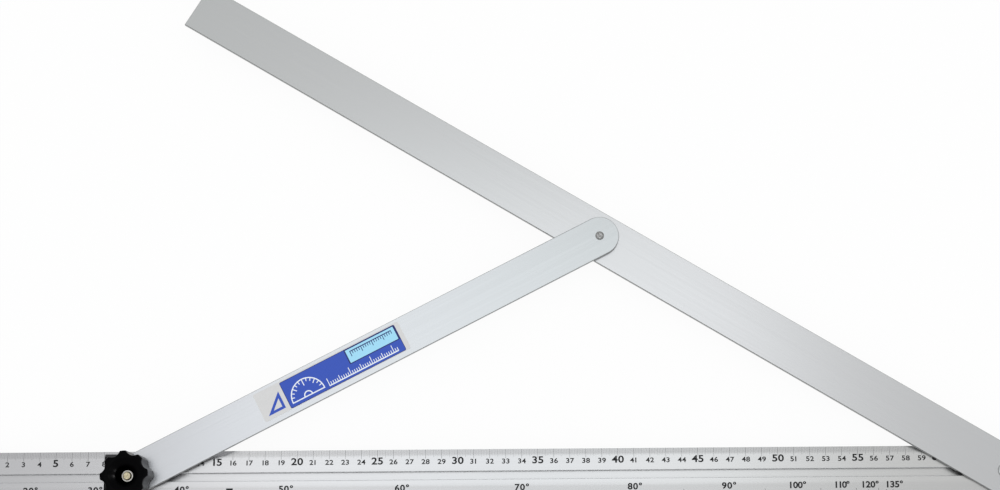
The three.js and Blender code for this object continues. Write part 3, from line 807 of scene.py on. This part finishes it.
insertForm = {"outer": 3.5, "inner": 2.65, "edge": 0.15, "sharp": 30}
insertLow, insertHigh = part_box("knob_insert")
low, high = insertLow.z / mm, insertHigh.z / mm
outer, inner, edge = insertForm["outer"], insertForm["inner"], insertForm["edge"]
insert = bmesh.new()
addTurned(insert, [(inner, low), (outer, low), (outer, high - edge), (outer - edge, high),
                   (inner + edge, high), (inner, high - edge)],
          Matrix.Translation((clampAt.x, clampAt.y, 0)))
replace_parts(addPiece("knob_insert_plated", insert, [insertSkin], "knob",
                     insertForm["sharp"]), "knob_insert")
print("stud and insert made")

# the knob has the same lobes and dish as its solid, with rounded corners and edges
knobForm = {
    "height": 16.6, "tip": 14.7, "lobes": 8, "turn": 4.5, "perLobe": 28,
    "scallop": 5.0, "centre": 17.5, "skirtCentre": 18.1,
    "runOut": 2.5,                  # how steeply a scallop's side leaves it past its half width
    "round": 0.8,                   # rounding of each lobe's corners
    "edge": 0.7,                    # rounding of the rim and of the skirt's edge
    "skirtSteps": 5, "wallSteps": 8, "rimSteps": 7,
    "flankTo": 4,                   # steps up the rim that still look like the flank
    "bowl": ((10.3, 0.0), (10.05, 0.06), (9.8, 0.22), (9.0, 0.85), (8.1, 1.5), (7.1, 2.25), (6.2, 3.05),
             (5.7, 3.6), (5.4, 4.05), (5.3, 4.5)),       # radius and depth below the rim
    "recess": 5.3, "recessDepth": 12.0, "bore": 3.8,
    "coreWithin": 0.5,              # mm outside the recess, where the bowl turns matt
    "fillet": (0.5, 0.15),          # at the recess's floor: its size, and its middle in from the corner
    "sharp": 50,                    # degrees from which an edge stays sharp
}
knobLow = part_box("knob")[0].z / mm
faceBand, flankBand, coreBand = range(3)


def lobeRadius(offset, tip, centre):
    # distance from the knob's axis to its skin: a smooth minimum of lobe tip and scallop, which
    # rounds off the corner between them
    scallop, soft = knobForm["scallop"], knobForm["round"]
    across = abs(centre * math.sin(offset))
    if across >= scallop:
        bite = centre * math.cos(offset) + (across - scallop) * knobForm["runOut"]
    else:
        bite = centre * math.cos(offset) - math.sqrt(scallop ** 2 - across ** 2)
    gap = max(soft - abs(tip - bite), 0) / soft
    return min(tip, bite) - gap * gap * soft / 4


def knobRings():
    # the rings of the section, from the bore along the underside to the bore again, each with the
    # material of the band that follows it. A round ring has its radius and height, and a lobed
    # one its share of the way up, how far in it is set, and its height
    form = knobForm
    edge, top, recess = form["edge"], form["height"], form["recess"]
    rings = [(flankBand, "circle", form["bore"], 0)]
    for i in range(form["skirtSteps"] + 1):
        angle = math.radians(90 * i / form["skirtSteps"])
        rings.append((flankBand, "lobed", 0, edge * (1 - math.sin(angle)), edge * (1 - math.cos(angle))))
    wall = top - 2 * edge
    for i in range(1, form["wallSteps"]):
        share = i / form["wallSteps"]
        rings.append((flankBand, "lobed", share, 0, edge + wall * share))
    for i in range(form["rimSteps"] + 1):
        angle = math.radians(90 * i / form["rimSteps"])
        rings.append((flankBand if i < form["flankTo"] else faceBand, "lobed", 1,
                      edge * (1 - math.cos(angle)), top - edge * (1 - math.sin(angle))))
    for radius, depth in form["bowl"]:
        band = faceBand if radius > recess + form["coreWithin"] else coreBand
        rings.append((band, "circle", radius, top - depth))
    floor = top - form["recessDepth"]
    size, middle = form["fillet"]
    for radius, z in ((recess, floor + size), (recess - middle, floor + middle),
                      (recess - size, floor), (form["bore"], floor)):
        rings.append((coreBand, "circle", radius, z))
    return rings


knobMesh = bmesh.new()
perLobe = knobForm["perLobe"]
count = knobForm["lobes"] * perLobe
halfPitch = math.pi / knobForm["lobes"]
loops = []
for band, kind, *values in knobRings():
    loop = []
    for i in range(count):
        offset = ((i % perLobe) / perLobe * 2 - 1) * halfPitch
        angle = 2 * math.pi * i / count + math.radians(knobForm["turn"])
        if kind == "circle":
            radius, z = values
        else:
            share, inset, z = values
            centre = knobForm["skirtCentre"] + share * (knobForm["centre"] - knobForm["skirtCentre"]) - inset
            radius = lobeRadius(offset, knobForm["tip"] - inset, centre)
        loop.append(knobMesh.verts.new(Vector((
            clampAt.x / mm + radius * math.cos(angle), clampAt.y / mm + radius * math.sin(angle),
            knobLow + z)) * mm))
    loops.append((band, loop))
for k, (band, loop) in enumerate(loops):
    following = loops[(k + 1) % len(loops)][1]
    for i in range(count):
        j = (i + 1) % count
        knobMesh.faces.new((loop[i], loop[j], following[j], following[i])).material_index = band
knobShell = addPiece("knob_shell", knobMesh, [knobFace, knobFlank, knobCore], "knob",
                     knobForm["sharp"])
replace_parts(knobShell, "knob")
print("knob built")

# floor, light and background
studio = {
    "floor": 6.0,                   # metres across
    "drop": 0.2,                    # mm of air under the rail
    "paper": "#F7F7F7",
    "whiteShare": 0.93,             # the rest of the floor's look is lit, and keeps the shadow
    "boxSize": (0.92, 0.75), "boxPlace": (0.0, 0.185, 1.5), "boxPower": 1.72, "boxColour": "#F4FBFF",
    "stripSize": (0.2, 0.25), "stripAim": (-0.224, 0.0, 0.03),
    "strips": (((0.75, 0.22, 0.25), 6.5), ((0.68, -0.4, 0.25), 3.5)),  # place and power, only in gloss
    "worldDiffuse": 0.9, "worldLow": 0.6, "worldHigh": 0.93,    # gloss towards the walls and overhead
    "worldRise": (0.3, 0.94),       # heights in the sky between which the gloss goes from one to the other
}
floorMaterial, tree = newMaterial("white paper floor")
ray = addNode(tree, "ShaderNodeLightPath")
seen = addNode(tree, "ShaderNodeMath", {"operation": "MAXIMUM"}, {
    0: ray.outputs["Is Camera Ray"], 1: ray.outputs["Is Glossy Ray"]})
seenThrough = addNode(tree, "ShaderNodeMath", {"operation": "MAXIMUM"}, {
    0: seen.outputs[0], 1: ray.outputs["Is Transmission Ray"]})
share = addNode(tree, "ShaderNodeMath", {"operation": "MULTIPLY"}, {
    0: seenThrough.outputs[0], 1: studio["whiteShare"]})
paper = addNode(tree, "ShaderNodeBsdfDiffuse", {}, {"Color": linear(studio["paper"])})
white = addNode(tree, "ShaderNodeEmission", {}, {"Color": linear("#FFFFFF")})
both = addNode(tree, "ShaderNodeMixShader", {}, {
    0: share.outputs[0], 1: paper.outputs[0], 2: white.outputs[0]})
addNode(tree, "ShaderNodeOutputMaterial", {}, {"Surface": both.outputs[0]})
floorMesh = bmesh.new()
half = studio["floor"] / 2
floorMesh.faces.new([floorMesh.verts.new((x, y, -studio["drop"] * mm)) for x, y in (
    (-half, -half), (half, -half), (half, half), (-half, half))])
floorData = bpy.data.meshes.new("floor")
floorMesh.to_mesh(floorData)
floorMesh.free()
floorData.materials.append(floorMaterial)
floorPiece = bpy.data.objects.new("floor", floorData)
scene.collection.objects.link(floorPiece)

softbox = bpy.data.lights.new("softbox", "AREA")
softbox.shape = "RECTANGLE"
softbox.size, softbox.size_y = studio["boxSize"]
softbox.energy = studio["boxPower"]
softbox.color = linear(studio["boxColour"])[:3]
softboxLamp = bpy.data.objects.new("softbox", softbox)
softboxLamp.location = studio["boxPlace"]
softboxLamp.visible_camera = False
scene.collection.objects.link(softboxLamp)

knobAlone = bpy.data.collections.new("knob alone")
knobAlone.objects.link(knobShell)
for place, power in studio["strips"]:
    strip = bpy.data.lights.new("strip", "AREA")
    strip.shape = "RECTANGLE"
    strip.size, strip.size_y = studio["stripSize"]
    strip.energy = power
    stripLamp = bpy.data.objects.new("strip", strip)
    stripLamp.location = place
    towards = Vector(studio["stripAim"]) - Vector(place)
    stripLamp.rotation_euler = towards.to_track_quat("-Z", "Y").to_euler()
    stripLamp.visible_camera = False
    stripLamp.visible_diffuse = False
    stripLamp.light_linking.receiver_collection = knobAlone
    scene.collection.objects.link(stripLamp)

world = bpy.data.worlds.new("studio")
scene.world = world
world.use_nodes = True
tree = world.node_tree
tree.nodes.clear()
ray = addNode(tree, "ShaderNodeLightPath")
sky = addNode(tree, "ShaderNodeTexCoord")
skyParts = addNode(tree, "ShaderNodeSeparateXYZ", {}, {"Vector": sky.outputs["Generated"]})
riseLow, riseHigh = studio["worldRise"]
gloss = addNode(tree, "ShaderNodeMapRange", {}, {
    "Value": skyParts.outputs["Z"], "From Min": riseLow, "From Max": riseHigh,
    "To Min": studio["worldLow"], "To Max": studio["worldHigh"]})
lit = addNode(tree, "ShaderNodeMapRange", {}, {
    "Value": ray.outputs["Is Glossy Ray"], "To Min": studio["worldDiffuse"],
    "To Max": gloss.outputs["Result"]})
backdrop = addNode(tree, "ShaderNodeMath", {"operation": "MAXIMUM"}, {
    0: ray.outputs["Is Camera Ray"], 1: ray.outputs["Is Transmission Ray"]})
level = addNode(tree, "ShaderNodeMapRange", {}, {
    "Value": backdrop.outputs[0], "To Min": lit.outputs["Result"], "To Max": 1.0})
light = addNode(tree, "ShaderNodeBackground", {}, {
    "Color": linear("#FFFFFF"), "Strength": level.outputs["Result"]})
addNode(tree, "ShaderNodeOutputWorld", {}, {"Surface": light.outputs[0]})
scene.view_settings.view_transform = "Standard"
print("studio lit")
